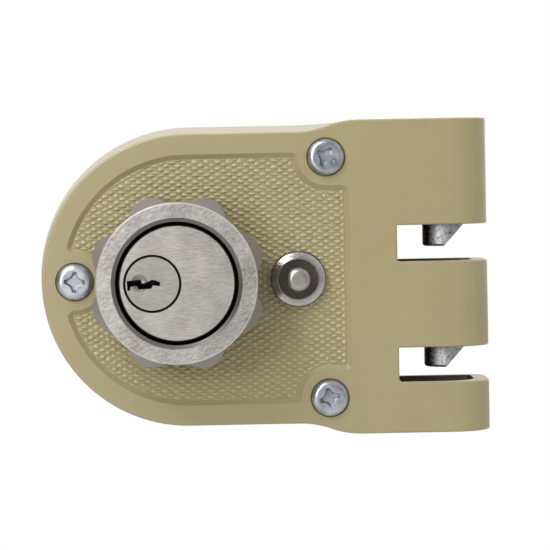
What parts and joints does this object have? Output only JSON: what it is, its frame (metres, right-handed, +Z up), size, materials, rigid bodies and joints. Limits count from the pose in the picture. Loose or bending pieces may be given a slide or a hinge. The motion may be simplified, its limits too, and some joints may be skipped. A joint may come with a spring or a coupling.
{
  "type": "rim mounted interlocking door lock",
  "caption": "Rim mounted interlocking door lock with hollow knuckles, upright spring bolts, a lobed turn knob round a key cylinder, and a stop button.",
  "frame": {"origin": "where the axis of the knob and of the tailpiece hole meets the door's face, at the back of the lock", "axes": "+X towards the knuckles and the door's edge, +Y into the door, +Z up; the front of the lock faces -Y"},
  "size_m": [0.118, 0.048, 0.0812],
  "materials": {
    "case_paint": "satin champagne enamel on a die casting",
    "plate_zinc": "zinc plated sheet",
    "screw_zinc": "bright zinc plate",
    "knob_nickel": "brushed satin nickel",
    "cylinder_nickel": "satin nickel",
    "raw_brass": "machined brass",
    "forged_steel": "dark rough forged steel",
    "pressed_steel": "pressed steel",
    "spring_steel": "oiled spring steel"
  },
  "bodies": {
    "lock": {"case": "case_paint", "mounting_plate": "plate_zinc", "case_screws": "screw_zinc", "plate_nuts": "plate_zinc", "knob_washer": "spring_steel", "button_bushing": "knob_nickel", "bushing_cap": "raw_brass", "bushing_nut": "raw_brass", "guide_posts": "pressed_steel", "spring_peg": "pressed_steel"},
    "knob": {"turn_knob": "knob_nickel", "knob_retaining_ring": "spring_steel", "cylinder_body": "cylinder_nickel", "driver_pins": "raw_brass", "pin_springs": "spring_steel", "chamber_stoppers": "raw_brass", "drive_hub": "pressed_steel", "crank_pin": "pressed_steel", "hub_screws": "pressed_steel"},
    "plug": {"cylinder_plug": "cylinder_nickel", "key_pins": "raw_brass", "plug_cam": "raw_brass", "cam_screws": "pressed_steel"},
    "bar": {"lock_bar": "pressed_steel"},
    "carriage": {"bolt_carriage": "pressed_steel", "upper_bolt": "forged_steel", "lower_bolt": "forged_steel", "bolt_screws": "pressed_steel", "return_spring": "spring_steel"},
    "button": {"stop_button": "knob_nickel", "button_spring": "spring_steel"}
  },
  "joints": [
    {"name": "knob_turn", "type": "hinge", "parent": "lock", "child": "knob", "pos_m": [0, 0, 0], "axis": [0, -1, 0], "range_deg": [0, 36.1]},
    {"name": "bolt_slide", "type": "slide", "parent": "lock", "child": "carriage", "axis": [0, 0, 1], "range_m": [0, 0.0062], "stiffness_N_per_m": 250, "springref_m": -0.004, "deforming": ["return_spring"]},
    {"name": "plug_turn", "type": "hinge", "parent": "knob", "child": "plug", "pos_m": [-0.0062, 0, 0], "axis": [0, -1, 0], "range_deg": [0, 90]},
    {"name": "bar_slide", "type": "slide", "parent": "knob", "child": "bar", "axis": [-1, 0, 0], "range_m": [0, 0.003]},
    {"name": "button_press", "type": "slide", "parent": "lock", "child": "button", "axis": [0, 1, 0], "range_m": [0, 0.0035], "stiffness_N_per_m": 200, "springref_m": -0.002}
  ],
  "couplings": [
    {"joint": "bolt_slide", "follows": "knob_turn", "m_per_rad": 0.009836},
    {"joint": "bar_slide", "follows": "plug_turn", "m_per_rad": 0.0019087}
  ]
}
